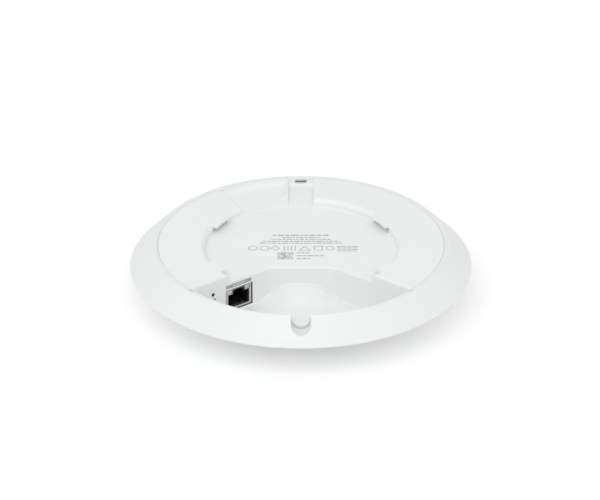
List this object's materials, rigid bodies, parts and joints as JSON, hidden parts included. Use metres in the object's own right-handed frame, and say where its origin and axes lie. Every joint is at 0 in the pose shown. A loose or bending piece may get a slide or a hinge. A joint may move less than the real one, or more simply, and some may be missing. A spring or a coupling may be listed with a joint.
{
  "type": "ceiling wireless access point",
  "caption": "Round ceiling network access point, ceiling side up: domed cover, recessed bracket seat with bayonet lugs, port bay with an angled jack, reset pinhole and cable notch.",
  "frame": {"origin": "centre of the round bracket recess floor, 4.4 mm below the ceiling face", "axes": "+Z toward the ceiling, -Y toward the cable notch and port bay, +X completes the right-handed frame; stored lying dome down"},
  "size_m": [0.1714, 0.1714, 0.0336],
  "materials": {
    "white_plastic": "satin",
    "clear_plastic": "translucent",
    "board": "solder mask",
    "grey_film": "matt film",
    "steel": "zinc plated",
    "aluminium": "milled",
    "pad": "soft",
    "tinplate": "bright tin",
    "black_plastic": "fine texture",
    "brass": "gold flash",
    "ferrite": "sintered",
    "tape": "wound tape",
    "sleeve": "shrink sleeve",
    "foam": "foam"
  },
  "bodies": {
    "housing": {"front_cover": "white_plastic", "back_cover": "white_plastic", "status_light_guide": "clear_plastic", "status_led": "clear_plastic", "main_board": "board", "insulator_sheet": "grey_film", "board_screws": "steel", "heat_spreader": "aluminium", "heat_spreader_screws": "steel", "thermal_pads": "pad", "shield_can_processor": "tinplate", "shield_can_radio_left": "tinplate", "shield_can_radio_right": "tinplate", "processor_chip": "black_plastic", "memory_chips": "black_plastic", "radio_chip_left": "black_plastic", "radio_chip_right": "black_plastic", "antenna_right": "brass", "antenna_back_right": "brass", "antenna_back_left": "brass", "antenna_left": "brass", "rj45_shield": "tinplate", "rj45_housing": "black_plastic", "rj45_contacts": "brass", "rj45_light_windows": "clear_plastic", "rj45_gasket": "foam", "ethernet_transformer": "black_plastic", "poe_transformer_core": "ferrite", "poe_transformer_coil": "tape", "bulk_capacitors": "sleeve", "power_inductors": "ferrite", "reset_switch_body": "black_plastic", "reset_switch_dome": "brass"},
    "reset_plunger": {"reset_switch_plunger": "black_plastic"}
  },
  "joints": [
    {"name": "reset_press", "type": "slide", "parent": "housing", "child": "reset_plunger", "axis": [-0.6157, 0.788, 0], "range_m": [0, 0.0003], "stiffness_N_per_m": 1500}
  ]
}
